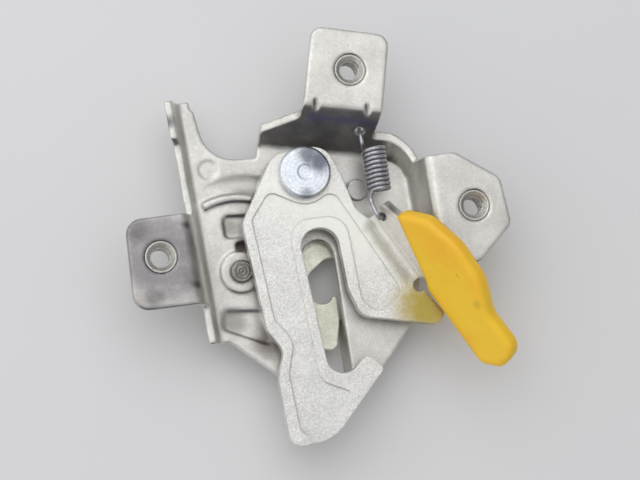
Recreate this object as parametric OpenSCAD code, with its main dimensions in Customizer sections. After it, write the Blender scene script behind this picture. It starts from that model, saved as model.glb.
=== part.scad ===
// Bonnet latch: pressed base tray with three nut tabs, striker claw behind, hinged safety lever in front.
// Flat frame: X right, Y away from the striker mouth, Z towards the front. Millimetres.

/* [Base tray] */
// thickness of the base sheet
sheet_t = 2.3; // [1.6:0.1:3.2]
// height of the tab faces over the tray floor
tab_rise = 14; // [11:0.5:18]
// lean of the top wall from upright, degrees
top_draft = 41; // [34:1:45]
// lean of the right wall from upright, degrees
right_draft = 12; // [6:1:18]
// lean of the left wall from upright, degrees
left_draft = 21; // [14:1:28]
// inside radius at the foot of the walls
foot_r = 2; // [1.5:0.1:3]
// outside radius where a wall turns into its tab
tab_r = 3.2; // [2.8:0.1:4.5]
// height of the low wall between the top and right tabs
low_wall_h = 5.5; // [4:0.25:7]
// height of the stiffening flange on the left edge
left_flange_h = 4.6; // [3.5:0.1:6]
// extra height of the lug at the upper end of the left flange
lug_rise = 2.4; // [1:0.1:3.5]
// width of the striker slot in the tray
striker_slot_w = 10.4; // [9:0.1:12]
// depth of the pressed pockets
pocket_depth = 1; // [0.5:0.1:1]
// height of the curved rib round the claw pivot
rib_h = 1; // [0.6:0.1:1.4]

/* [Weld nuts] */
// tap bore radius of the nuts
nut_bore_r = 3.35; // [3.3:0.01:3.45]
// pilot collar radius of the nuts
nut_pilot_r = 5; // [4.6:0.1:5.4]
// width across the flats of the nuts
nut_flats = 14; // [13:0.5:16]
// height of the nut body behind the tab
nut_h = 5.5; // [4.5:0.25:6.5]

/* [Safety lever] */
// thickness of the lever
lever_t = 3.6; // [3:0.1:4.2]
// gap between the tray floor and the lever
lever_gap = 3.2; // [2.8:0.1:4]
// depth of the coined field in the lever
coin_depth = 0.6; // [0.3:0.1:1]
// lean of the handle blade from upright, degrees
blade_lean = 35; // [25:1:42]
// thickness of the dip coating on the handle
coat_t = 1.3; // [0.8:0.1:2]

/* [Pivots] */
// radius of the journal that the lever turns on
main_pin_r = 5; // [4:0.1:6]
// radius of the formed head of the main rivet
main_head_r = 8.5; // [7.5:0.1:9]
// height of the formed head of the main rivet
main_head_h = 2.4; // [1.8:0.1:3]
// radius of the pins that the claw and the pawl turn on
rear_pin_r = 4; // [3.5:0.1:4.5]
// radial clearance of the turning fits
turn_clear = 0.05; // [0.02:0.01:0.1]

/* [Claw and pawl] */
// thickness of the claw and the pawl
claw_t = 4; // [3.5:0.1:4.5]
// gap between the tray and the claw
claw_gap = 1.6; // [1.4:0.1:2]
// wire thickness of the torsion springs
torsion_wire = 1.4; // [1:0.1:1.4]
// outer diameter of the extension spring
spring_od = 8.2; // [7:0.1:8.6]
// wire thickness of the extension spring
spring_wire = 1.4; // [1:0.1:1.6]

/* [Hidden] */
$fn = 48;
ARC_STEP = 12;
TINY = 0.02;
SKIN = 0.05;
PAST = 1;

// bolt, pivot and spring points on the tray floor
TOP_BOLT = [15.5, 52.0];
RIGHT_BOLT = [49.3, 3.1];
LEFT_BOLT = [-53.9, -0.6];
MAIN_PIVOT = [-3.3, 21.4];
CLAW_PIVOT = [-27.3, -7.0];
PAWL_PIVOT = [14.8, 14.8];
// spring eyes: along and up the top wall, and along and up the blade
WEB_EYE_S = 8.7;
WEB_EYE_Z = 7.6;
BLADE_EYE_S = 2.1;
BLADE_EYE_W = 3.6;
EYE_R = 1.5;
DART_R = 1.2;
// striker slot and the lip on its right side
SLOT_X = -1.4;
SLOT_TOP_Y = -5.2;
MOUTH_Y = -46.6;
LIP_Y = -44;
LIP_L = 18;
// relief of the tray floor
RIB_R = 24.2;
RIB_FROM = 72;
RIB_TURN = 40;
STEP_R = 29;
STEP_FROM = 68;
STEP_TURN = 37;
STEP_ROUND = 6;
STEP_DEPTH = 0.5;
STEP_TILT = 3;
SEAT_R = 6.8;
SEAT_H = 0.8;
POCKET_SHRINK = 0.8;
SLIT_AT = [-27.6, -0.6];
SLIT_SIZE = [4.2, 3.2];
DISH_AT = [-33.0, 27.3];
DISH_R = 3.4;
DISH_DEPTH = 0.4;
MARK_AT = [-31.8, 26.5];
MARK_R = 0.5;
MARK_DEPTH = 0.9;
// rivet and pins: shanks in the tray, shoulders, heads and staked ends
RIVET_SHANK_R = 4;
RIVET_TAIL_R = 6;
RIVET_TAIL_H = 1.3;
RIVET_SHOULDER_R = 8;
HEAD_EASE = 0.7;
DIMPLE_R = 2.6;
DIMPLE_DEPTH = 0.2;
PIN_SHANK_R = 3;
PIN_SEAT_R = 6;
PIN_HEAD_R = 8;
STAKE_R = 3.7;
STAKE_EASE = 0.6;
CLAW_STAKE_H = 1.8;
PAWL_STAKE_H = 0.8;
// chamfer at the mouth of the nuts, and how far the collar stays behind the tab's face
NUT_CHAMFER = 1.2;
COLLAR_BACK = 0.2;
RELIEF_AT = [28.8, -19.6];
RELIEF_R = 2.1;
CABLE_EYE_R = 2;

TOP_ORIGIN = [7.0, 28.0];
TOP_ANGLE = -12;
RIGHT_ORIGIN = [32.7, 14.0];
RIGHT_ANGLE = -90;
LEFT_ORIGIN = [-38.3, 0];
LEFT_ANGLE = 91.9;
// centre of the rounded tray corner, one radius inside both wall feet
CORNER_R = 8;
CORNER_STEPS = 5;
CORNER_FROM = TOP_ANGLE + 90;
CORNER_TO = 12;
CORNER_X = RIGHT_ORIGIN[0] - CORNER_R;
CORNER_S = (CORNER_X - CORNER_R * sin(TOP_ANGLE) - TOP_ORIGIN[0]) / cos(TOP_ANGLE);
CORNER_Y = TOP_ORIGIN[1] + (CORNER_X - TOP_ORIGIN[0]) * tan(TOP_ANGLE) - CORNER_R / cos(TOP_ANGLE);
CORNER = [CORNER_X, CORNER_Y];

lever_z = lever_gap;
lever_front = lever_gap + lever_t;
claw_top = -sheet_t - claw_gap;
claw_low = claw_top - claw_t;
coil_low = claw_low - 3;
rest_z = coil_low - 1.6;

function unit(v) = v / norm(v);
function xy(p) = [p[0], p[1]];
function ring_at(list, i) = list[(i + len(list)) % len(list)];

// arc points that round corner p between its neighbours a and b, in a fixed number of steps if over 0
function corner_arc(p, a, b, fixed) =
    let (q = xy(p), u = unit(xy(a) - q), v = unit(xy(b) - q), r = p[2])
    r <= 0 || abs(u * v) > 0.9999 ? [q] :
    let (half = acos(u * v) / 2,
         centre = q + unit(u + v) * (r / sin(half)),
         from = q + u * (r / tan(half)) - centre,
         to = q + v * (r / tan(half)) - centre,
         start = atan2(from[1], from[0]),
         turn = ((atan2(to[1], to[0]) - start + 540) % 360) - 180,
         steps = fixed > 0 ? fixed : max(2, ceil(abs(turn) / ARC_STEP)))
    [for (k = [0 : steps]) centre + r * [cos(start + turn * k / steps), sin(start + turn * k / steps)]];

// closed outline with every corner [x, y, radius] rounded
function outline(corners, fixed = 0) =
    [for (i = [0 : len(corners) - 1])
        each corner_arc(corners[i], ring_at(corners, i - 1), ring_at(corners, i + 1), fixed)];

function right_of(d) = [d[1], -d[0]];
function turn_sign(d0, d1) = d0[0] * d1[1] - d0[1] * d1[0] > 0 ? 1 : -1;

// back corner of a bent strip of thickness t at point i of its front path
function back_corner(path, i, t) =
    let (last = len(path) - 1,
         d0 = unit(xy(path[max(i, 1)]) - xy(path[max(i, 1) - 1])),
         d1 = unit(xy(path[min(i, last - 1) + 1]) - xy(path[min(i, last - 1)])),
         n0 = right_of(i == 0 ? d1 : d0),
         n1 = right_of(i == last ? d0 : d1),
         q = xy(path[i]) + t * (n0 + n1) / (1 + n0 * n1))
    [q[0], q[1], path[i][2] > 0 ? path[i][2] + turn_sign(d0, d1) * t : 0];

// section of a bent strip: front path corners [u, z, radius] with thickness t behind them
function strip(path, t, fixed = 0) =
    outline(concat(path, [for (i = [len(path) - 1 : -1 : 0]) back_corner(path, i, t)]), fixed);

// front path of floor, wall and tab with the wall leaning out by draft
function tab_path(draft, reach) =
    [[-4, -SKIN, 0], [0, -SKIN, foot_r], [tab_rise * tan(draft), tab_rise, tab_r], [reach, tab_rise, 0]];

module along(origin, angle) translate([origin[0], origin[1], 0]) rotate([0, 0, angle]) children();

// strip section drawn along a line from s0 to s1
module run(origin, angle, section, s0, s1)
    along(origin, angle) translate([s0, 0, 0]) rotate([90, 0, 90]) linear_extrude(s1 - s0) polygon(section);

module prism(corners, z0, z1) translate([0, 0, z0]) linear_extrude(z1 - z0) polygon(outline(corners));

module rod(x, y, r, z0, z1) translate([x, y, z0]) cylinder(r = r, h = z1 - z0);

// round wire between two points
module wire(a, b, r) {
    v = b - a;
    translate(a) rotate([0, acos(v[2] / norm(v)), atan2(v[1], v[0])]) cylinder(r = r, h = norm(v), $fn = 20);
}

// moves the floor frame so that the origin is on the top bolt axis at the nut's seat
module placed() translate([-TOP_BOLT[0], -TOP_BOLT[1], sheet_t - tab_rise]) children();

// floor inside the wall feet
FLOOR = [
    [-35.2, -29.2, 1], [-37.8, 47.4, 0.5], [-35.0, 48.0, 1.5], [-32.6, 30.4, 11], [-16.4, 29.4, 0.5],
    [29.8, 19.8, 5], [29.8, -2.0, 0], [32.8, -2.0, 0.5], [32.8, -12.0, 4], [28.4, -29.0, 6],
    [14.2, -44.4, 4], [3.8, MOUTH_Y, 1.5], [3.8, -30, 0], [-6.6, -30, 0], [-6.6, MOUTH_Y, 2],
    [-15.0, MOUTH_Y, 3], [-34.4, -28.8, 1]];
TOP_TAB = [
    [5.2, 67.9, 4], [30.4, 62.0, 4], [24.4, 38.2, 1], [21.4, 30.2, 2], [20.5, 22, 0], [-4.2, 24, 0],
    [-3.6, 37.4, 2], [-1.0, 44.4, 1]];
RIGHT_TAB = [
    [30, 21.0, 0], [45.6, 21.4, 4], [59.6, 11.2, 4], [60.8, -4.4, 4], [48.6, -15.2, 4],
    [44.0, -15.6, 2], [38.0, -2.5, 1], [30, -2.5, 0]];
LEFT_TAB = [[-34, 12.4, 0], [-63.5, 12.2, 5], [-64.5, -16.6, 5], [-34, -16.8, 0]];
LOWER_POCKET = [[-36.0, -18.0, 2.5], [-36.6, -24.6, 2], [-18.6, -33.4, 2], [-22.0, -19.6, 2.5]];
UPPER_POCKET = [[-31.2, 12.2, 2], [-31.2, 3.8, 2], [-22.0, 3.6, 1], [-22.0, 11.4, 1]];

LEVER = [
    [-12.4, 28.6, 7], [5.0, 30.0, 7], [9.2, 18.0, 12], [11.8, 7.4, 6], [15.7, 4.1, 0], [27.5, -18.6, 0],
    [30.2, -21.3, 0.6], [35.6, -29.6, 1.6], [33.2, -33.0, 2.5], [8.4, -27.0, 5], [5.4, -17.5, 8],
    [4.5, 3.1, 6], [-8.4, 3.1, 6], [-4.9, -44.6, 5.2], [2.4, -44.0, 4], [8.4, -39.2, 1.8],
    [13.2, -44.4, 1.6], [-6.6, -64.4, 12], [-20.6, -65.6, 4], [-21.5, -43.0, 6], [-18.4, -34.4, 5],
    [-22.8, -27.4, 5], [-25.7, 7.6, 4]];
COINED = [
    [-3.2, 10.0, 9], [-15.6, 16.9, 3], [-22.5, 8.4, 3], [-20.0, -24.6, 5], [-14.8, -32.0, 6],
    [-18.0, -42.0, 6], [-16.9, -62.8, 3.5], [-9.6, -61.4, 5], [-0.6, -53.2, 0.8], [0.9, -50.2, 0.8],
    [-8.2, -45.6, 5], [-11.2, 6.4, 6.6], [8.0, 6.4, 6.6], [9.2, -21.6, 3], [13.4, -26.8, 4],
    [23.6, -22.0, 4], [5.2, 15.2, 3.5]];
CREASE_START = [16.6, 4.6];
CREASE_ANGLE = -62.5;
BLADE_PATH = [[-4, -SKIN, 0], [0, -SKIN, 1.2], [20 * tan(blade_lean), 20, 0]];
BLADE = [
    [0, -8, 0], [0, 2.8, 0], [-1.0, 2.8, 0], [-1.0, 6.8, 1], [4.2, 8.2, 3], [11.6, 16.6, 6],
    [24.0, 20.4, 14], [36.5, 19.8, 10], [47.0, 14.4, 9], [60.6, 14.8, 4], [62.6, 7.6, 3],
    [58.6, 2.6, 3], [25.5, 2.6, 0], [25.5, -8, 0]];
COAT = [
    [4.2, 8.4, 0.6], [5.2, 11.4, 0.8], [11.2, 18.1, 6], [24.0, 21.7, 15], [36.9, 21.1, 11.3],
    [47.2, 15.8, 7.7], [61.6, 16.3, 5.3], [64.0, 7.4, 4.3], [59.2, 1.3, 4.3], [29.5, 1.3, 1],
    [26.5, 2.8, 2]];

CLAW = [
    [-36.6, 2.4, 8.5], [-20.0, 3.2, 6], [-9.6, 5.4, 0.8], [-8.5, 5.4, 0.4], [-8.5, 2.6, 0.8],
    [9.0, 0.8, 2], [8.6, -5.6, 2], [1.4, -5.8, 4], [-5.4, -10.6, 4], [-5.2, -20.6, 4.2],
    [0.8, -20.6, 3], [3.5, -16.4, 0.8], [3.2, -26.0, 8], [0.8, -36.2, 2.5], [-5.4, -34.4, 3],
    [-14.0, -21.0, 8], [-24.0, -17.4, 5], [-36.6, -16.4, 8.5]];
PAWL = [
    [-7.1, 3.4, 0.5], [-2.0, 3.4, 2], [9.0, 7.4, 4], [20.5, 6.6, 6], [28.8, 14.4, 3], [27.4, 21.6, 3],
    [14.6, 23.2, 7], [7.0, 19.0, 6], [-4.0, 8.8, 3], [-7.1, 7.6, 1]];
CABLE_EYE = [24.3, 17.0];

// plate in the plane of a wall: outline [distance along the wall, height]
module wall_window(origin, angle, edge)
    along(origin, angle) translate([0, 40, 0]) rotate([90, 0, 0]) linear_extrude(60) polygon(edge);

// wall with its tab: a bent strip kept inside the tab's plan and under the wall's cut edge
module tab_wall(origin, angle, draft, plan, s0, s1, edge)
    intersection() {
        run(origin, angle, strip(tab_path(draft, 60), sheet_t), s0, s1);
        union() {
            prism(plan, -5, tab_rise + 5);
            wall_window(origin, angle, edge);
        }
    }

// thin slice of the low wall, leaning out by draft, a hair thicker than the sheet
module wall_slice(draft) {
    lean = tan(draft);
    back = sheet_t / cos(draft) + SKIN;
    translate([CORNER_R, 0, 0]) rotate([90, 0, 0]) linear_extrude(TINY) polygon([
        [-0.8, SKIN - sheet_t], [-0.8, -0.2], [low_wall_h * lean - SKIN, low_wall_h + SKIN],
        [low_wall_h * lean + back, low_wall_h + SKIN], [back - sheet_t * lean, SKIN - sheet_t]]);
}

// wall slice at share f of the turn round the tray corner
module corner_slice(f)
    translate([CORNER[0], CORNER[1], 0]) rotate([0, 0, CORNER_FROM + (CORNER_TO - CORNER_FROM) * f])
        wall_slice(top_draft + (right_draft - top_draft) * f);

// low wall round the upper right corner of the tray, with its lean easing from one side to the other
module corner_wall() {
    for (i = [0 : CORNER_STEPS - 1]) hull() {
        corner_slice(i / CORNER_STEPS);
        corner_slice((i + 1) / CORNER_STEPS);
    }
    // straight start inside the low wall
    hull() {
        corner_slice(0);
        translate([-cos(TOP_ANGLE), -sin(TOP_ANGLE), 0]) corner_slice(0);
    }
}

// cut edge of the top wall: rising to the tab from the left, low to the right of it
TOP_EDGE = [
    [-30, -5], [-30, 1.4], [-24, 4.2], [-8, 11.6], [-2, 11.6], [-2, low_wall_h], [30, low_wall_h],
    [30, -5]];
// cut edge of the left flange, with a raised lug at its upper end
LEFT_EDGE = [
    [-40, -5], [-40, left_flange_h], [36, left_flange_h], [37.5, left_flange_h + lug_rise],
    [60, left_flange_h + lug_rise], [60, -5]];

module tray_walls() {
    tab_wall(TOP_ORIGIN, TOP_ANGLE, top_draft, TOP_TAB, -23.5, CORNER_S, TOP_EDGE);
    tab_wall(LEFT_ORIGIN, LEFT_ANGLE, left_draft, LEFT_TAB, -29, 50.2, LEFT_EDGE);
    intersection() {
        run(RIGHT_ORIGIN, RIGHT_ANGLE, strip(tab_path(right_draft, 60), sheet_t), -40, 40);
        prism(RIGHT_TAB, -5, tab_rise + 5);
    }
    corner_wall();
    // floor of the rounded corner
    rod(CORNER[0], CORNER[1], CORNER_R - 0.2, SKIN - sheet_t, -SKIN);
}

// middle of the box round an outline's corners
function middle(corners) = [for (k = [0, 1]) let (v = [for (c = corners) c[k]]) (min(v) + max(v)) / 2];

// cut of a pressed pocket: its outline at the floor's face, narrower below, so that the walls slope
module pocket(corners) {
    c = middle(corners);
    translate([c[0], c[1], -pocket_depth]) linear_extrude(2 * pocket_depth, scale = 2 / POCKET_SHRINK - 1)
        polygon([for (p = outline(corners)) (p - c) * POCKET_SHRINK]);
}

// soft step outside the rib, deeper towards the lever
module rib_step()
    translate([CLAW_PIVOT[0], CLAW_PIVOT[1], STEP_ROUND - STEP_DEPTH]) rotate([0, STEP_TILT, 0])
        rotate([0, 0, STEP_FROM]) rotate_extrude(angle = STEP_TURN)
            translate([STEP_R, 0]) circle(r = STEP_ROUND);

module floor_sheet() {
    difference() {
        prism(FLOOR, -sheet_t, 0);
        rod(SLOT_X, SLOT_TOP_Y, striker_slot_w / 2, -sheet_t - PAST, PAST);
        translate([SLOT_X - striker_slot_w / 2, MOUTH_Y - PAST, -sheet_t - PAST])
            cube([striker_slot_w, SLOT_TOP_Y - MOUTH_Y + PAST, sheet_t + 2 * PAST]);
    }
    // pads behind the pressed pockets keep the sheet thickness
    prism(LOWER_POCKET, -sheet_t - pocket_depth, -sheet_t + TINY);
    prism(UPPER_POCKET, -sheet_t - pocket_depth, -sheet_t + TINY);
    // lip on the right side of the striker slot, turned to the rear
    translate([SLOT_X + striker_slot_w / 2, LIP_Y, rest_z]) cube([sheet_t, LIP_L, -rest_z]);
    // curved rib concentric with the claw pivot
    translate([CLAW_PIVOT[0], CLAW_PIVOT[1], -TINY]) rotate([0, 0, RIB_FROM]) rotate_extrude(angle = RIB_TURN)
        translate([RIB_R, 0]) polygon([[-1.6, 0], [-0.8, rib_h], [0.8, rib_h], [1.6, 0]]);
    // raised seat of the claw pin with a sloping edge
    translate([CLAW_PIVOT[0], CLAW_PIVOT[1], -TINY])
        cylinder(r1 = SEAT_R + SEAT_H / 2, r2 = SEAT_R - SEAT_H / 2, h = SEAT_H + TINY);
}

// groove across the bend of a tab at distance s along its wall
module dart(origin, angle, draft, s)
    along(origin, angle) translate([s, tab_rise * tan(draft), tab_rise]) rotate([-45 - draft / 2, 0, 0])
        translate([0, 0, -5]) cylinder(r = DART_R, h = 10);

module base_plate() color([0.86, 0.85, 0.82]) placed() {
    difference() {
        union() {
            floor_sheet();
            tray_walls();
        }
        for (b = [TOP_BOLT, RIGHT_BOLT, LEFT_BOLT])
            rod(b[0], b[1], nut_pilot_r + turn_clear, tab_rise - sheet_t - PAST, tab_rise + PAST);
        rod(MAIN_PIVOT[0], MAIN_PIVOT[1], RIVET_SHANK_R, -sheet_t - PAST, PAST);
        for (p = [CLAW_PIVOT, PAWL_PIVOT]) rod(p[0], p[1], PIN_SHANK_R, -sheet_t - PAST, SEAT_H + PAST);
        pocket(LOWER_POCKET);
        pocket(UPPER_POCKET);
        rib_step();
        // slit between the upper pocket and the claw pin
        translate([SLIT_AT[0], SLIT_AT[1], -sheet_t - 2 * PAST])
            cube([SLIT_SIZE[0], SLIT_SIZE[1], sheet_t + 4 * PAST]);
        // shallow dish with its centre mark
        rod(DISH_AT[0], DISH_AT[1], DISH_R, -DISH_DEPTH, PAST);
        rod(MARK_AT[0], MARK_AT[1], MARK_R, -MARK_DEPTH, PAST);
        // eye of the extension spring in the top wall
        along(TOP_ORIGIN, TOP_ANGLE) translate([WEB_EYE_S, WEB_EYE_Z * tan(top_draft), WEB_EYE_Z])
            rotate([90 - top_draft, 0, 0]) translate([0, 0, -8]) cylinder(r = EYE_R, h = 16);
        // darts pressed across the bends of the tabs
        for (s = [-7.1, 9.9]) dart(TOP_ORIGIN, TOP_ANGLE, top_draft, s);
        for (s = [-10.3, 8.7]) dart(LEFT_ORIGIN, LEFT_ANGLE, left_draft, s);
        dart(RIGHT_ORIGIN, RIGHT_ANGLE, right_draft, -0.8);
    }
}

// hexagon nut behind its tab with a collar in the tab's hole
module weld_nut(b) {
    seat_z = tab_rise - sheet_t;
    difference() {
        union() {
            translate([b[0], b[1], seat_z - nut_h]) cylinder(d = nut_flats / cos(30), h = nut_h, $fn = 6);
            rod(b[0], b[1], nut_pilot_r, seat_z - TINY, tab_rise - COLLAR_BACK);
        }
        rod(b[0], b[1], nut_bore_r, seat_z - nut_h - PAST, tab_rise + PAST);
        translate([b[0], b[1], tab_rise - COLLAR_BACK - NUT_CHAMFER])
            cylinder(r1 = nut_bore_r, r2 = nut_bore_r + NUT_CHAMFER + TINY, h = NUT_CHAMFER + TINY);
    }
}

module weld_nuts() color([0.72, 0.72, 0.7]) placed()
    for (b = [TOP_BOLT, RIGHT_BOLT, LEFT_BOLT]) weld_nut(b);

// shouldered rivet with an orbital-formed head over the lever
module main_rivet() color([0.78, 0.8, 0.84]) placed() {
    tail_z = -sheet_t - RIVET_TAIL_H;
    seat_z = lever_z - turn_clear;
    head_z = lever_front + turn_clear;
    top_z = lever_front + main_head_h;
    shank = RIVET_SHANK_R - TINY;
    translate([MAIN_PIVOT[0], MAIN_PIVOT[1], 0]) rotate_extrude() polygon([
        [0, tail_z], [RIVET_TAIL_R - HEAD_EASE, tail_z], [RIVET_TAIL_R, tail_z + HEAD_EASE],
        [RIVET_TAIL_R, -sheet_t], [shank, -sheet_t], [shank, 0], [RIVET_SHOULDER_R, 0],
        [RIVET_SHOULDER_R, seat_z], [main_pin_r, seat_z], [main_pin_r, head_z], [main_head_r, head_z],
        [main_head_r, top_z - HEAD_EASE], [main_head_r - HEAD_EASE, top_z - 0.1], [DIMPLE_R, top_z],
        [DIMPLE_R - 2 * DIMPLE_DEPTH, top_z - DIMPLE_DEPTH], [0, top_z - DIMPLE_DEPTH]]);
}

// pivot pin with a wide rear head, a journal for the part on it and a staked front end on its seat
module rear_pin(p, seat_z, stake_h) {
    head_top = coil_low - 0.2;
    seat_back = claw_top + turn_clear;
    shank = PIN_SHANK_R - TINY;
    front_z = seat_z + stake_h;
    translate([p[0], p[1], 0]) rotate_extrude() polygon([
        [0, rest_z], [PIN_HEAD_R - HEAD_EASE, rest_z], [PIN_HEAD_R, rest_z + HEAD_EASE],
        [PIN_HEAD_R, head_top], [rear_pin_r, head_top], [rear_pin_r, seat_back],
        [PIN_SEAT_R, seat_back], [PIN_SEAT_R, -sheet_t],
        [shank, -sheet_t], [shank, seat_z], [STAKE_R, seat_z], [STAKE_R, front_z - STAKE_EASE],
        [STAKE_R - STAKE_EASE, front_z], [0, front_z]]);
}

module claw_pin() color([0.6, 0.61, 0.6]) placed() rear_pin(CLAW_PIVOT, SEAT_H, CLAW_STAKE_H);

module pawl_pin() color([0.6, 0.61, 0.6]) placed() rear_pin(PAWL_PIVOT, 0, PAWL_STAKE_H);

// blade frame: X along the crease, Y up the blade, Z out of its front face
module on_blade()
    translate([CREASE_START[0], CREASE_START[1], lever_front]) rotate([90 - blade_lean, 0, CREASE_ANGLE])
        children();

module lever_profile() {
    difference() {
        prism(LEVER, lever_z, lever_front);
        prism(COINED, lever_front - coin_depth, lever_front + PAST);
    }
    // blade bent up along the crease and trimmed to its outline
    intersection() {
        translate([0, 0, lever_front]) run(CREASE_START, CREASE_ANGLE, strip(BLADE_PATH, lever_t), -5, 70);
        on_blade() translate([0, 0, -20]) linear_extrude(40) polygon(outline(BLADE));
    }
}

module safety_lever() color([0.9, 0.89, 0.86]) placed() difference() {
    lever_profile();
    rod(MAIN_PIVOT[0], MAIN_PIVOT[1], main_pin_r + turn_clear, lever_z - PAST, lever_front + PAST);
    // relief at the lower end of the bend
    rod(RELIEF_AT[0], RELIEF_AT[1], RELIEF_R, lever_z - PAST, lever_front + 5 * PAST);
    // eye of the extension spring in the blade
    on_blade() translate([BLADE_EYE_S, BLADE_EYE_W, -10]) cylinder(r = EYE_R, h = 20);
}

// layer of the coating, drawn in by inset, standing proud of both faces of the blade
module coat_layer(inset, proud)
    translate([0, 0, -lever_t - proud]) linear_extrude(lever_t + 2 * proud)
        offset(delta = -inset) polygon(outline(COAT));

module handle_coating() color([0.95, 0.78, 0.16]) placed() difference() {
    on_blade() {
        coat_layer(1.2, coat_t);
        coat_layer(0.5, coat_t * 0.6);
        coat_layer(0, coat_t * 0.2);
    }
    // room for the blade
    on_blade() translate([0, 0, -lever_t - TINY]) linear_extrude(lever_t + 2 * TINY)
        offset(delta = TINY) polygon(outline(BLADE));
}

SPRING_TOP = [20.2, 26.8, 9.0];
SPRING_LOW = [19.8, 12.2, 9.4];
HOOK_SIDE = [-3.4, 0.4, 0];

// point on the blade: along the crease, up the blade and out of its front face
function blade_point(s, w, out) =
    [CREASE_START[0], CREASE_START[1], lever_front]
    + s * [cos(CREASE_ANGLE), sin(CREASE_ANGLE), 0]
    + w * [-sin(CREASE_ANGLE) * sin(blade_lean), cos(CREASE_ANGLE) * sin(blade_lean), cos(blade_lean)]
    + out * [sin(CREASE_ANGLE) * cos(blade_lean), -cos(CREASE_ANGLE) * cos(blade_lean), sin(blade_lean)];

// point on the top wall's front face, with out along its normal
function web_point(s, z, out) =
    let (v = z * tan(top_draft) - out * cos(top_draft))
    [TOP_ORIGIN[0] + s * cos(TOP_ANGLE) - v * sin(TOP_ANGLE),
     TOP_ORIGIN[1] + s * sin(TOP_ANGLE) + v * cos(TOP_ANGLE), z + out * sin(top_draft)];

// close-wound extension spring as a tube with its two hooks through the eyes
module lever_spring() color([0.66, 0.66, 0.7]) placed() {
    v = SPRING_LOW - SPRING_TOP;
    hook_r = spring_wire * 0.48;
    pin_r = spring_wire * 0.44;
    web_end = web_point(WEB_EYE_S, WEB_EYE_Z, 1.2);
    blade_end = blade_point(BLADE_EYE_S, BLADE_EYE_W, 2.4);
    translate(SPRING_TOP) rotate([0, acos(v[2] / norm(v)), atan2(v[1], v[0])]) difference() {
        cylinder(d = spring_od, h = norm(v));
        translate([0, 0, -1]) cylinder(d = spring_od - 2 * spring_wire, h = norm(v) + 2);
    }
    wire(SPRING_TOP + HOOK_SIDE - [0, 0.8, 0], web_end, hook_r);
    wire(web_end, web_point(WEB_EYE_S, WEB_EYE_Z, -3.2), pin_r);
    wire(SPRING_LOW + HOOK_SIDE, blade_end, hook_r);
    wire(blade_end, blade_point(BLADE_EYE_S, BLADE_EYE_W, -4.2), pin_r);
}

module claw() color([0.85, 0.85, 0.78]) placed() difference() {
    prism(CLAW, claw_low, claw_top);
    rod(CLAW_PIVOT[0], CLAW_PIVOT[1], rear_pin_r + turn_clear, claw_low - PAST, claw_top + PAST);
}

module pawl() color([0.8, 0.8, 0.76]) placed() difference() {
    prism(PAWL, claw_low, claw_top);
    rod(PAWL_PIVOT[0], PAWL_PIVOT[1], rear_pin_r + turn_clear, claw_low - PAST, claw_top + PAST);
    rod(CABLE_EYE[0], CABLE_EYE[1], CABLE_EYE_R, claw_low - PAST, claw_top + PAST);
}

// torsion spring as a coil ring with two legs
module torsion_coil(p) translate([p[0], p[1], coil_low]) difference() {
    cylinder(r = 5 + torsion_wire, h = 2.8);
    translate([0, 0, -1]) cylinder(r = 5, h = 5);
}

coil_mid = coil_low + 1.4;
leg_r = torsion_wire * 0.43;
foot_leg_r = torsion_wire * 0.4;

// leg of a torsion spring from the coil at offset a to a foot at offset b from the pivot, ending at height z
module torsion_leg(p, a, b, z) {
    foot = [p[0] + b[0], p[1] + b[1], coil_mid];
    wire([p[0] + a[0], p[1] + a[1], coil_mid], foot, leg_r);
    wire(foot, [foot[0], foot[1], z], foot_leg_r);
}

COIL_MEAN = 5.7;
// feet of the springs' legs from their pivots, on the tray and on the moving piece
CLAW_LEG_TRAY = [-8.3, 12.0];
CLAW_LEG_MOVES = [10.3, 12.6];
PAWL_LEG_TRAY = [-10.8, 8.6];
PAWL_LEG_MOVES = [10.4, -5.2];

module claw_spring() color([0.62, 0.62, 0.64]) placed() {
    torsion_coil(CLAW_PIVOT);
    torsion_leg(CLAW_PIVOT, [-COIL_MEAN, 0], CLAW_LEG_TRAY, -sheet_t - 0.1);
    torsion_leg(CLAW_PIVOT, [0, COIL_MEAN], CLAW_LEG_MOVES, claw_top - 0.5);
}

module pawl_spring() color([0.62, 0.62, 0.64]) placed() {
    torsion_coil(PAWL_PIVOT);
    torsion_leg(PAWL_PIVOT, [0, COIL_MEAN], PAWL_LEG_TRAY, -sheet_t - 0.1);
    torsion_leg(PAWL_PIVOT, [COIL_MEAN, 0], PAWL_LEG_MOVES, claw_top - 0.5);
}

base_plate();
weld_nuts();
main_rivet();
claw_pin();
pawl_pin();
safety_lever();
handle_coating();
lever_spring();
claw();
pawl();
claw_spring();
pawl_spring();
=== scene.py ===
"""Bonnet latch: finishes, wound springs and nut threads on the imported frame, in metres."""

from __future__ import annotations

import logging
import math
from dataclasses import dataclass, field
from enum import Enum
from typing import Optional, Sequence, Union

import bpy
from mathutils import Matrix, Vector

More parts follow.
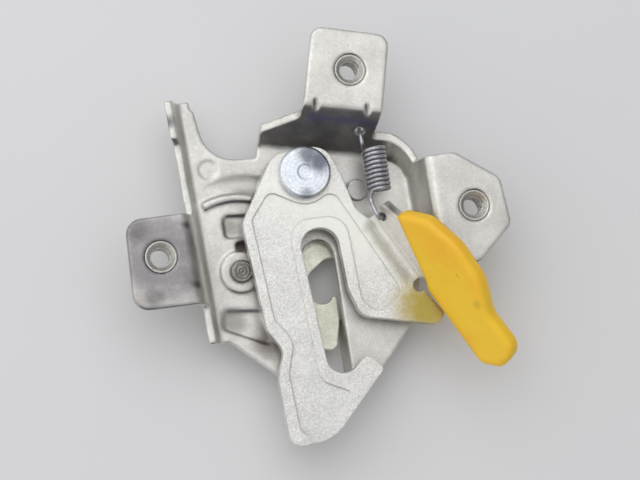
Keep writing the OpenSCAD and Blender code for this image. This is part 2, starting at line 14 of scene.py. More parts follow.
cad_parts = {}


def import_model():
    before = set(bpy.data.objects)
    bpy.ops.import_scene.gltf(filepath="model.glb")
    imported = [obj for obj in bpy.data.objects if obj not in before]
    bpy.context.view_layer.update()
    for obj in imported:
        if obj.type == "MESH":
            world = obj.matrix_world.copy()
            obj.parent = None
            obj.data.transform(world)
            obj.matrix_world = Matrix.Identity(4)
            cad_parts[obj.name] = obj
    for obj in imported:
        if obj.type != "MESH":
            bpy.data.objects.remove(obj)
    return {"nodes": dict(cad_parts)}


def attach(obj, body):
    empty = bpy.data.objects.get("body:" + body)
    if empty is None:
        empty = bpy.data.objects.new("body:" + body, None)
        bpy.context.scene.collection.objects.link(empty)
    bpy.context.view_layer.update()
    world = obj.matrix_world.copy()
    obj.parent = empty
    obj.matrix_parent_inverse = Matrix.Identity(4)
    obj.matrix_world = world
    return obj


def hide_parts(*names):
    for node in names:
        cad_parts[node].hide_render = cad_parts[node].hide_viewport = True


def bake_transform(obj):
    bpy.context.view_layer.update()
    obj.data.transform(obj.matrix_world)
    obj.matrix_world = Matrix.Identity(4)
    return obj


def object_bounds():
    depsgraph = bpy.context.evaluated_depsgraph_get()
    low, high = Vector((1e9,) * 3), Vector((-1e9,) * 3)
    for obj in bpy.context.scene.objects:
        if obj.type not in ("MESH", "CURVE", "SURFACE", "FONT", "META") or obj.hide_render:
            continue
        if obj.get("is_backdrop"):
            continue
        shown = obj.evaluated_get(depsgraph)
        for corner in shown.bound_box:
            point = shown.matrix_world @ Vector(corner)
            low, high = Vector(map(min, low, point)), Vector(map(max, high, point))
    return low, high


LOG = logging.getLogger("bonnet_latch")
# place of the frame's origin, measured from the front of the tray floor, in millimetres
ORIGIN_MM = Vector((15.5, 52.0, 11.7))
MM_IN_M = 1000.0

Color = tuple[float, float, float]
Point = tuple[float, float, float]
Socket = bpy.types.NodeSocket
Value = Union[float, Sequence[float], Socket]


class Body(Enum):
    """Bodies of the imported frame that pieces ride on."""

    BASE = "base"
    LEVER = "lever"
    CLAW = "claw"
    PAWL = "pawl"


def on_floor(x: float, y: float, z: float) -> Vector:
    """Turn a point given in millimetres on the tray floor into the frame.

    Args:
        x: millimetres to the right.
        y: millimetres away from the striker mouth.
        z: millimetres in front of the tray floor.

    Returns:
        The point in the frame, in metres.
    """
    return (Vector((x, y, z)) - ORIGIN_MM) / MM_IN_M


@dataclass(frozen=True)
class Skin:
    """Bumps and rounded edges of a surface, lengths in metres."""

    strength: float
    reach: float
    rounding: float
    samples: int


class Graph:
    """Short hand for adding and joining shader nodes in one tree."""

    # places of a mix node's share, two colours and result among its sockets
    MIX_SHARE, MIX_FIRST, MIX_SECOND, MIX_RESULT = 0, 6, 7, 2

    def __init__(self, tree: bpy.types.NodeTree) -> None:
        """Keep the tree that the nodes go into."""
        self.tree = tree

    def add(self, kind: str, **props: object) -> bpy.types.Node:
        """Add a node of a kind and set its properties.

        Args:
            kind: the node's type name.
            props: properties to set on it.

        Returns:
            The new node.
        """
        node = self.tree.nodes.new(kind)
        for key, value in props.items():
            setattr(node, key, value)
        return node

    def feed(self, socket: Socket, value: Value) -> None:
        """Link a socket to another one, or set its own value.

        Args:
            socket: the input to feed.
            value: an output socket, a number, a colour or a vector.
        """
        if isinstance(value, Socket):
            self.tree.links.new(value, socket)
        elif socket.type == "RGBA" and len(value) == 3:
            socket.default_value = (*value, 1.0)
        else:
            socket.default_value = value

    def math(self, operation: str, a: Value, b: Value, clamp: bool = False) -> Socket:
        """Join two values with a maths operation.

        Args:
            operation: the operation's name.
            a: first value.
            b: second value.
            clamp: keep the result between 0 and 1.

        Returns:
            The result's socket.
        """
        node = self.add("ShaderNodeMath", operation=operation, use_clamp=clamp)
        self.feed(node.inputs[0], a)
        self.feed(node.inputs[1], b)
        return node.outputs[0]

    def vector(self, operation: str, a: Value, b: Value) -> Socket:
        """Join two vectors, or a vector and a number, with a vector operation.

        Args:
            operation: the operation's name.
            a: first vector.
            b: second vector, or the factor of SCALE.

        Returns:
            The result's socket.
        """
        node = self.add("ShaderNodeVectorMath", operation=operation)
        self.feed(node.inputs[0], a)
        self.feed(node.inputs["Scale"] if operation == "SCALE" else node.inputs[1], b)
        return node.outputs["Value" if operation in ("DOT_PRODUCT", "DISTANCE") else "Vector"]

    def weigh(self, a: Value, share_a: float, b: Value, share_b: float) -> Socket:
        """Add two values by their shares.

        Args:
            a: first value.
            share_a: its share.
            b: second value.
            share_b: its share.

        Returns:
            The sum's socket.
        """
        return self.math("ADD", self.math("MULTIPLY", a, share_a), self.math("MULTIPLY", b, share_b))

    def relief(self, shader: bpy.types.Node, height: Value, skin: Skin) -> None:
        """Give a shader rounded edges under a bumped surface.

        Args:
            shader: the shader whose normal is set.
            height: height of the bumps.
            skin: how strong they are and how far edges are rounded.
        """
        round_off = self.add("ShaderNodeBevel", samples=skin.samples)
        round_off.inputs["Radius"].default_value = skin.rounding
        bump = self.add("ShaderNodeBump")
        bump.inputs["Strength"].default_value = skin.strength
        bump.inputs["Distance"].default_value = skin.reach
        self.feed(bump.inputs["Height"], height)
        self.feed(bump.inputs["Normal"], round_off.outputs[0])
        self.feed(shader.inputs["Normal"], bump.outputs[0])

    def mix(self, share: Value, a: Value, b: Value) -> Socket:
        """Mix two colours.

        Args:
            share: share of the second colour.
            a: first colour.
            b: second colour.

        Returns:
            The mixed colour's socket.
        """
        node = self.add("ShaderNodeMix", data_type="RGBA")
        self.feed(node.inputs[self.MIX_SHARE], share)
        self.feed(node.inputs[self.MIX_FIRST], a)
        self.feed(node.inputs[self.MIX_SECOND], b)
        return node.outputs[self.MIX_RESULT]

    def remap(
        self, value: Value, low: Value, high: Value, to_low: Value = 0.0, to_high: Value = 1.0
    ) -> Socket:
        """Remap a value smoothly from one range to another.

        Args:
            value: value to remap.
            low: start of its range.
            high: end of its range.
            to_low: result at the start.
            to_high: result at the end.

        Returns:
            The remapped value's socket.
        """
        node = self.add("ShaderNodeMapRange", interpolation_type="SMOOTHSTEP")
        for socket, given in zip(node.inputs[:5], (value, low, high, to_low, to_high)):
            self.feed(socket, given)
        return node.outputs[0]

    def place(self) -> Socket:
        """Return the surface's own coordinates, in metres in the frame."""
        return self.add("ShaderNodeTexCoord").outputs["Object"]

    def noise(self, scale: Value, detail: float = 3.0, rough: float = 0.55) -> Socket:
        """Add a noise over the surface.

        Args:
            scale: noise cells in a metre.
            detail: octaves of finer noise.
            rough: share of the finer noise.

        Returns:
            The noise value's socket.
        """
        node = self.add("ShaderNodeTexNoise")
        self.feed(node.inputs["Vector"], self.place())
        self.feed(node.inputs["Scale"], scale)
        node.inputs["Detail"].default_value = detail
        node.inputs["Roughness"].default_value = rough
        return node.outputs["Fac"]


class Effect(Enum):
    """Shader node groups that several finishes use."""

    GRAIN = "plate_grain"
    # worn edges with a painted highlight
    WORN_EDGE_HIGHLIGHT = "edge_wear_and_highlight"
    # painted shade in corners and under overhangs
    CORNER_SHADE = "crevice_painted_shade"
    PATCH = "local_patch"
    STREAK = "line_streak"
    # painted shade and dark reflection on walls
    WALL_SHADE = "wall_painted_shade"
    TURNED = "turned_rings"


class EffectLibrary:
    """Builds each shared shader node group once."""

    FLOAT, COLOR, VECTOR = "NodeSocketFloat", "NodeSocketColor", "NodeSocketVector"
    # noise cells in a metre
    EDGE_BREAKS, FILM, STAIN_RIM, STREAK_RIM, CLOUD, WOBBLE = 420.0, 160.0, 230.0, 300.0, 110.0, 500.0
    # how far turned rings stray, in metres
    WOBBLE_REACH = 0.0004

    def __init__(self) -> None:
        """Build all the groups."""
        self.groups: dict[Effect, bpy.types.NodeTree] = {
            Effect.GRAIN: self.grain(),
            Effect.WORN_EDGE_HIGHLIGHT: self.worn_edge_highlight(),
            Effect.CORNER_SHADE: self.corner_shade(),
            Effect.PATCH: self.patch(),
            Effect.STREAK: self.streak(),
            Effect.WALL_SHADE: self.wall_shade(),
            Effect.TURNED: self.turned(),
        }

    def start(
        self, effect: Effect, inputs: dict[str, str], outputs: dict[str, str]
    ) -> tuple[Graph, bpy.types.Node, bpy.types.Node]:
        """Start a group with its named sockets.

        Args:
            effect: the group's effect.
            inputs: input names and their socket types.
            outputs: output names and their socket types.

        Returns:
            The group's graph, input node and output node.
        """
        tree = bpy.data.node_groups.new(effect.value, "ShaderNodeTree")
        for direction, sockets in (("INPUT", inputs), ("OUTPUT", outputs)):
            for name, kind in sockets.items():
                tree.interface.new_socket(name=name, in_out=direction, socket_type=kind)
        graph = Graph(tree)
        return graph, graph.add("NodeGroupInput"), graph.add("NodeGroupOutput")

    def grain(self) -> bpy.types.NodeTree:
        """Mottled plating with crystal sparkle: colour, roughness and height."""
        graph, given, out = self.start(
            Effect.GRAIN,
            {
                "Grain": self.FLOAT,
                "Mottle": self.FLOAT,
                "Sparkle": self.FLOAT,
                "Dark": self.COLOR,
                "Light": self.COLOR,
                "Low": self.FLOAT,
                "High": self.FLOAT,
            },
            {"Color": self.COLOR, "Roughness": self.FLOAT, "Height": self.FLOAT},
        )
        mottle = graph.noise(given.outputs["Mottle"], 5.0, 0.6)
        fine = graph.noise(given.outputs["Grain"], 3.0, 0.6)
        flakes = graph.add("ShaderNodeTexVoronoi")
        graph.feed(flakes.inputs["Vector"], graph.place())
        graph.feed(flakes.inputs["Scale"], given.outputs["Grain"])
        parts = graph.add("ShaderNodeSeparateColor")
        graph.feed(parts.inputs[0], flakes.outputs["Color"])
        tint, gloss, lift = parts.outputs
        blend = graph.weigh(mottle, 0.6, fine, 0.25)
        glint = graph.math("MULTIPLY", graph.math("SUBTRACT", tint, 0.5), given.outputs["Sparkle"])
        share = graph.remap(graph.math("ADD", blend, glint), 0.2, 0.7)
        graph.feed(out.inputs["Color"], graph.mix(share, given.outputs["Dark"], given.outputs["Light"]))
        tone = graph.weigh(mottle, 0.5, gloss, 0.5)
        rough = graph.remap(tone, 0.2, 0.8, given.outputs["Low"], given.outputs["High"])
        graph.feed(out.inputs["Roughness"], rough)
        graph.feed(out.inputs["Height"], graph.weigh(fine, 0.6, lift, 0.4))
        return graph.tree

    def worn_edge_highlight(self) -> bpy.types.NodeTree:
        """Bright rubbed metal and painted highlight along sharp edges, broken up by noise."""
        graph, given, out = self.start(
            Effect.WORN_EDGE_HIGHLIGHT, {"Radius": self.FLOAT, "Gain": self.FLOAT}, {"Mask": self.FLOAT}
        )
        bevel = graph.add("ShaderNodeBevel", samples=4)
        graph.feed(bevel.inputs["Radius"], given.outputs["Radius"])
        facing = graph.add("ShaderNodeNewGeometry")
        level = graph.vector("DOT_PRODUCT", bevel.outputs[0], facing.outputs["Normal"])
        turn = graph.math("SUBTRACT", 1.0, level)
        broken = graph.remap(graph.noise(self.EDGE_BREAKS, 3.0), 0.35, 0.62)
        mask = graph.math("MULTIPLY", graph.math("MULTIPLY", turn, given.outputs["Gain"]), broken, True)
        graph.feed(out.inputs["Mask"], mask)
        return graph.tree

    def corner_shade(self) -> bpy.types.NodeTree:
        """Painted shade that darkens corners and places under overhangs, patchy by noise."""
        graph, given, out = self.start(
            Effect.CORNER_SHADE, {"Reach": self.FLOAT, "Gain": self.FLOAT}, {"Mask": self.FLOAT}
        )
        hollow = graph.add("ShaderNodeAmbientOcclusion", samples=6)
        graph.feed(hollow.inputs["Distance"], given.outputs["Reach"])
        closed = graph.math("SUBTRACT", 1.0, hollow.outputs["AO"])
        cloudy = graph.remap(graph.noise(self.FILM, 5.0), 0.2, 0.7, 0.45, 1.0)
        mask = graph.math("MULTIPLY", graph.math("MULTIPLY", closed, given.outputs["Gain"]), cloudy, True)
        graph.feed(out.inputs["Mask"], mask)
        return graph.tree

    def patch(self) -> bpy.types.NodeTree:
        """Round patch about a point, with a ragged border, for stains, smudges, painted shade and painted
        reflection.
        """
        graph, given, out = self.start(
            Effect.PATCH,
            {"Center": self.VECTOR, "Radius": self.FLOAT, "Gain": self.FLOAT},
            {"Mask": self.FLOAT},
        )
        radius = given.outputs["Radius"]
        reach = graph.vector("DISTANCE", graph.place(), given.outputs["Center"])
        ragged = graph.math("MULTIPLY", graph.noise(self.STAIN_RIM, 4.0), radius)
        far = graph.math("ADD", reach, graph.math("MULTIPLY", ragged, 0.5))
        inner = graph.math("MULTIPLY", radius, 0.45)
        outer = graph.math("MULTIPLY", radius, 1.25)
        soft = graph.remap(far, inner, outer, 1.0, 0.0)
        graph.feed(out.inputs["Mask"], graph.math("MULTIPLY", soft, given.outputs["Gain"]))
        return graph.tree

    def streak(self) -> bpy.types.NodeTree:
        """Soft streak along a straight line, uneven along its length."""
        graph, given, out = self.start(
            Effect.STREAK,
            {"Start": self.VECTOR, "Run": self.VECTOR, "Width": self.FLOAT, "Gain": self.FLOAT},
            {"Mask": self.FLOAT},
        )
        run, width = given.outputs["Run"], given.outputs["Width"]
        away = graph.vector("SUBTRACT", graph.place(), given.outputs["Start"])
        reach = graph.vector("DOT_PRODUCT", away, run)
        span = graph.vector("DOT_PRODUCT", run, run)
        nearest = graph.vector("SCALE", run, graph.math("DIVIDE", reach, span, True))
        gap = graph.vector("DISTANCE", away, nearest)
        stray = graph.math("SUBTRACT", graph.noise(self.STREAK_RIM, 4.0), 0.5)
        ragged = graph.math("MULTIPLY", stray, width)
        soft = graph.remap(graph.math("ADD", gap, ragged), 0.0, width, 1.0, 0.0)
        graph.feed(out.inputs["Mask"], graph.math("MULTIPLY", soft, given.outputs["Gain"]))
        return graph.tree

    def wall_shade(self) -> bpy.types.NodeTree:
        """Painted shade and dark reflection on a wall that faces one way, with cloudy strength."""
        graph, given, out = self.start(
            Effect.WALL_SHADE, {"Facing": self.VECTOR, "Gain": self.FLOAT}, {"Mask": self.FLOAT}
        )
        normal = graph.add("ShaderNodeTexCoord").outputs["Normal"]
        turned_so = graph.remap(graph.vector("DOT_PRODUCT", normal, given.outputs["Facing"]), 0.84, 0.985)
        cloud = graph.remap(graph.noise(self.CLOUD, 4.0), 0.25, 0.7, 0.75, 1.0)
        strength = graph.math("MULTIPLY", cloud, given.outputs["Gain"])
        graph.feed(out.inputs["Mask"], graph.math("MULTIPLY", turned_so, strength))
        return graph.tree

    def turned(self) -> bpy.types.NodeTree:
        """Rings that a forming tool leaves round a pin's axis."""
        graph, given, out = self.start(
            Effect.TURNED,
            {"Center": self.VECTOR, "Pitch": self.FLOAT},
            {"Height": self.FLOAT, "Mask": self.FLOAT},
        )
        flat = graph.vector("MULTIPLY", graph.place(), (1.0, 1.0, 0.0))
        reach = graph.vector("DISTANCE", flat, given.outputs["Center"])
        wobble = graph.math("MULTIPLY", graph.noise(self.WOBBLE), self.WOBBLE_REACH)
        turns = graph.math("DIVIDE", graph.math("ADD", reach, wobble), given.outputs["Pitch"])
        wave = graph.math("SINE", graph.math("MULTIPLY", turns, 2.0 * math.pi), 0.0)
        ring = graph.math("ADD", graph.math("MULTIPLY", wave, 0.5), 0.5)
        graph.feed(out.inputs["Height"], ring)
        graph.feed(out.inputs["Mask"], graph.remap(ring, 0.55, 1.0))
        return graph.tree

    def use(self, graph: Graph, effect: Effect, **values: Value) -> dict[str, Socket]:
        """Place a group in a material with its own values.

        Args:
            graph: the material's graph.
            effect: the group to place.
            values: values of its inputs, by name.

        Returns:
            The group's outputs, by name.
        """
        node = graph.add("ShaderNodeGroup", node_tree=self.groups[effect])
        for name, value in values.items():
            graph.feed(node.inputs[name], value)
        return {socket.name: socket for socket in node.outputs}


@dataclass(frozen=True)
class StainAndShade:
    """Tinted place on a plated piece, used for stains and for painted shade and painted reflection.

    Place in millimetres on the tray floor, radius in millimetres.
    """

    at: Point
    radius: float
    color: Color
    gain: float = 1.0


@dataclass(frozen=True)
class Streak:
    """Tinted line between two points on a plated piece, used for painted highlights, painted light,
    painted shade and painted reflection.

    Points in millimetres on the tray floor, width to each side in millimetres.
    """

    start: Point
    end: Point
    width: float
    color: Color
    gain: float = 1.0


@dataclass(frozen=True)
class Turned:
    """Ring marks round an axis through a floor point, with their pitch in millimetres."""

    at: tuple[float, float]
    pitch: float
    color: Color = (0.2, 0.2, 0.21)
    gain: float = 0.35
    depth: float = 1.0


@dataclass(frozen=True)
class Plating:
    """Zinc plated or bare steel with grain, worn edges with a painted highlight, and painted shade in
    corners.
    """

    name: str
    dark: Color
    light: Color
    low: float = 0.34
    high: float = 0.52
    metallic: float = 0.92
    grain: float = 2200.0
    mottle: float = 150.0
    bump: float = 0.16
    # worn edges with a painted highlight: their colour and strength
    worn_edge_highlight: Color = (0.95, 0.94, 0.92)
    worn_edge_highlight_gain: float = 4.0
    # painted shade in corners and under overhangs: its colour, strength, reach and added roughness
    corner_shade: Color = (0.24, 0.23, 0.21)
    corner_shade_gain: float = 0.4
    corner_shade_reach: float = 0.006
    corner_shade_rough: float = 0.25
    bump_reach: float = 0.0004
    soften: float = 0.0006
    soften_samples: int = 4
    sparkle: float = 0.2
    # painted shade and dark reflection on walls that face one way
    wall_shade: Color = (0.13, 0.125, 0.13)
    wall_shade_facing: Point = (0.0, 0.0, 1.0)
    wall_shade_gain: float = 0.0
    stains_and_shades: tuple[StainAndShade, ...] = ()
    streaks: tuple[Streak, ...] = ()
    turned: Optional[Turned] = None

    def marked(self, graph: Graph, effects: EffectLibrary, color: Socket) -> Socket:
        """Lay the painted wall shade, and the patches and streaks of stain, painted shade, painted
        highlight and painted reflection, over a colour.

        Args:
            graph: the material's graph.
            effects: the shared node groups.
            color: the clean plating's colour.

        Returns:
            The marked colour's socket.
        """
        # painted shade and dark reflection on the walls that face one way
        if self.wall_shade_gain > 0.0:
            facing, gain = self.wall_shade_facing, self.wall_shade_gain
            wall_shaded = effects.use(graph, Effect.WALL_SHADE, Facing=facing, Gain=gain)["Mask"]
            color = graph.mix(wall_shaded, color, self.wall_shade)
        # patches of stain, painted shade and painted reflection
        for patch_mark in self.stains_and_shades:
            mask = effects.use(
                graph,
                Effect.PATCH,
                Center=on_floor(*patch_mark.at),
                Radius=patch_mark.radius / MM_IN_M,
                Gain=patch_mark.gain,
            )["Mask"]
            color = graph.mix(mask, color, patch_mark.color)
        # streaks of painted highlight, painted light, painted shade and painted reflection
        for streak in self.streaks:
            start = on_floor(*streak.start)
            mask = effects.use(
                graph,
                Effect.STREAK,
                Start=start,
                Run=on_floor(*streak.end) - start,
                Width=streak.width / MM_IN_M,
                Gain=streak.gain,
            )["Mask"]
            color = graph.mix(mask, color, streak.color)
        return color

    def material(self, effects: EffectLibrary) -> bpy.types.Material:
        """Build the finish as a material.

        Args:
            effects: the shared node groups.

        Returns:
            The material.
        """
        made = bpy.data.materials.new(self.name)
        made.use_nodes = True
        graph = Graph(made.node_tree)
        shader = made.node_tree.nodes["Principled BSDF"]
        plate = effects.use(
            graph,
            Effect.GRAIN,
            Grain=self.grain,
            Mottle=self.mottle,
            Sparkle=self.sparkle,
            Dark=self.dark,
            Light=self.light,
            Low=self.low,
            High=self.high,
        )
        color, height = self.marked(graph, effects, plate["Color"]), plate["Height"]
        if self.turned:
            center = on_floor(*self.turned.at, 0.0)
            rings = effects.use(
                graph,
                Effect.TURNED,
                Center=(center.x, center.y, 0.0),
                Pitch=self.turned.pitch / MM_IN_M,
            )
            shown = graph.math("MULTIPLY", rings["Mask"], self.turned.gain)
            color = graph.mix(shown, color, self.turned.color)
            height = graph.math("ADD", height, graph.math("MULTIPLY", rings["Height"], self.turned.depth))
        # painted shade: corners and places under overhangs are darkened and made rougher
        corner_shade = effects.use(graph, Effect.CORNER_SHADE, Reach=self.corner_shade_reach, Gain=self.corner_shade_gain)["Mask"]
        color = graph.mix(corner_shade, color, self.corner_shade)
        # worn edges with a painted highlight are lightened
        worn_edge_highlight = effects.use(graph, Effect.WORN_EDGE_HIGHLIGHT, Radius=self.soften, Gain=self.worn_edge_highlight_gain)["Mask"]
        color = graph.mix(worn_edge_highlight, color, self.worn_edge_highlight)
        graph.feed(shader.inputs["Base Color"], color)
        dulled = graph.math("MULTIPLY", corner_shade, self.corner_shade_rough)
        graph.feed(shader.inputs["Roughness"], graph.math("ADD", plate["Roughness"], dulled, True))
        shader.inputs["Metallic"].default_value = self.metallic
        graph.relief(shader, height, Skin(self.bump, self.bump_reach, self.soften, self.soften_samples))
        return made


@dataclass(frozen=True)
class DipCoat:
    """Soft yellow dip coating with slow waves, rubbed smudges and a low gloss."""

    name: str = "handle_dip_coat"
    bright: Color = (1.0, 0.635, 0.028)
    deep: Color = (1.0, 0.55, 0.024)
    smudge: Color = (0.16, 0.10, 0.03)
    smudge_at: Point = (42.8, -29.6, 19.8)
    smudge_radius: float = 2.2
    smudge_gain: float = 0.22
    # noise cells in a metre
    shades: float = 45.0
    waves: float = 120.0
    specks: float = 420.0
    pores: float = 900.0
    speck_gain: float = 0.3
    pore_share: float = 0.12
    low: float = 0.30
    high: float = 0.46
    glow: float = 0.08
    glow_reach: Point = (0.002, 0.001, 0.0004)
    skin: Skin = Skin(0.42, 0.0012, 0.0016, 6)

    def material(self, effects: EffectLibrary) -> bpy.types.Material:
        """Build the finish as a material.

        Args:
            effects: the shared node groups.

        Returns:
            The material.
        """
        made = bpy.data.materials.new(self.name)
        made.use_nodes = True
        graph = Graph(made.node_tree)
        shader = made.node_tree.nodes["Principled BSDF"]
        fine = graph.noise(self.pores, 3.0)
        color = graph.mix(graph.remap(graph.noise(self.shades, 2.0), 0.35, 0.7), self.bright, self.deep)
        mark = effects.use(
            graph,
            Effect.PATCH,
            Center=on_floor(*self.smudge_at),
            Radius=self.smudge_radius / MM_IN_M,
            Gain=self.smudge_gain,
        )["Mask"]
        color = graph.mix(mark, color, self.smudge)
        flecks = graph.remap(graph.noise(self.specks, 2.0), 0.70, 0.80, 0.0, self.speck_gain)
        color = graph.mix(flecks, color, self.smudge)
        graph.feed(shader.inputs["Base Color"], color)
        graph.feed(shader.inputs["Roughness"], graph.remap(fine, 0.3, 0.7, self.low, self.high))
        shader.inputs["Subsurface Weight"].default_value = self.glow
        shader.inputs["Subsurface Radius"].default_value = self.glow_reach
        pitted = graph.math("MULTIPLY", fine, self.pore_share)
        graph.relief(shader, graph.math("ADD", graph.noise(self.waves, 2.0), pitted), self.skin)
        return made


def smooth_path(points: Sequence[Vector], steps: int) -> list[Vector]:
    """Run a smooth curve through points.

    Args:
        points: points that the curve passes.
        steps: steps between two of them.

    Returns:
        The curve's points.
    """
    ends = [points[0] * 2 - points[1], *points, points[-1] * 2 - points[-2]]
    path: list[Vector] = []
    for a, b, c, d in zip(ends, ends[1:], ends[2:], ends[3:]):
        bend = 2 * a - 5 * b + 4 * c - d
        twist = 3 * b - a - 3 * c + d
        for k in range(steps):
            t = k / steps
            path.append(0.5 * (2 * b + (c - a) * t + bend * t * t + twist * t**3))
    return [*path, points[-1].copy()]


def sweep_faces(rings: int, sides: int) -> list[tuple[int, ...]]:
    """Join the rings of a sweep with faces and close its two ends.

    Args:
        rings: number of rings, one after the other.
        sides: points in a ring.

    Returns:
        The faces, as point numbers.
    """
    faces: list[tuple[int, ...]] = []
    for ring in range(0, (rings - 1) * sides, sides):
        for k in range(sides):
            beside = (k + 1) % sides
            faces.append((ring + k, ring + beside, ring + sides + beside, ring + sides + k))
    last = (rings - 1) * sides
    return [*faces, tuple(reversed(range(sides))), tuple(range(last, last + sides))]


def wire_mesh(name: str, path: Sequence[Vector], radius: float, sides: int = 12) -> bpy.types.Object:
    """Sweep a round wire along a path.

    Args:
        name: name of the piece.
        path: points of the wire's middle, in metres.
        radius: the wire's radius, in metres.
        sides: corners of its round section.

    Returns:
        The piece, in the scene.
    """
    forward = (path[1] - path[0]).normalized()
    across = forward.orthogonal().normalized()
    verts: list[Vector] = []
    for i, point in enumerate(path):
        ahead = (path[min(i + 1, len(path) - 1)] - path[max(i - 1, 0)]).normalized()
        across = (across - ahead * across.dot(ahead)).normalized()
        side = ahead.cross(across)
        for k in range(sides):
            angle = 2 * math.pi * k / sides
            verts.append(point + radius * (math.cos(angle) * across + math.sin(angle) * side))
    return mesh_piece(name, verts, sweep_faces(len(path), sides))


def mesh_piece(name: str, verts: Sequence[Vector], faces: Sequence[tuple[int, ...]]) -> bpy.types.Object:
    """Make a smooth mesh piece and put it in the scene.

    Args:
        name: name of the piece.
        verts: its points, in metres.
        faces: its faces, as point numbers.

    Returns:
        The piece.
    """
    mesh = bpy.data.meshes.new(name)
    mesh.from_pydata([tuple(v) for v in verts], [], faces)
    mesh.update()
    mesh.polygons.foreach_set("use_smooth", [True] * len(mesh.polygons))
    piece = bpy.data.objects.new(name, mesh)
    bpy.context.scene.collection.objects.link(piece)
    return piece


def helix(
    start: Vector, end: Vector, radius: float, turns: float, phase: float, steps: int = 28
) -> list[Vector]:
    """Wind a helix about a line.

    Args:
        start: start of its axis.
        end: end of its axis.
        radius: radius of the wire's middle.
        turns: number of turns.
        phase: angle of its first point, in radians.
        steps: points in a turn.

    Returns:
        The helix's points.
    """
    axis = end - start
    ahead = axis.normalized()
    right = Vector((1, 0, 0)) if abs(ahead.x) < 0.7 else Vector((0, 0, 1))
    right = (right - ahead * right.dot(ahead)).normalized()
    side = ahead.cross(right)
    count = int(turns * steps)
    points = []
    for i in range(count + 1):
        angle = phase + 2 * math.pi * turns * i / count
        around = math.cos(angle) * right + math.sin(angle) * side
        points.append(start + axis * (i / count) + radius * around)
    return points


def dress(piece: bpy.types.Object, finish: bpy.types.Material) -> None:
    """Give a piece one finish in all its slots.

    Args:
        piece: the piece to dress.
        finish: its material.
    """
    if not piece.data.materials:
        piece.data.materials.append(finish)
    for index in range(len(piece.data.materials)):
        piece.data.materials[index] = finish
    LOG.info("dressed %s with %s", piece.name, finish.name)


def soften(piece: bpy.types.Object, grid: float, rounds: int) -> None:
    """Round a piece's edges off, with modifiers.

    Args:
        piece: the piece to soften.
        grid: size of the skin's cells, in millimetres.
        rounds: how often the skin is eased.
    """
    skin = piece.modifiers.new("skin", "REMESH")
    skin.mode = "VOXEL"
    skin.voxel_size = grid / MM_IN_M
    skin.use_smooth_shade = True
    flow = piece.modifiers.new("flow", "SMOOTH")
    flow.factor = 0.5
    flow.iterations = rounds


@dataclass(frozen=True)
class Lamp:
    """Square soft lamp: its place from the aim point and its sides in metres, its power in watts."""

    name: str
    at: Point
    side: float
    watts: float


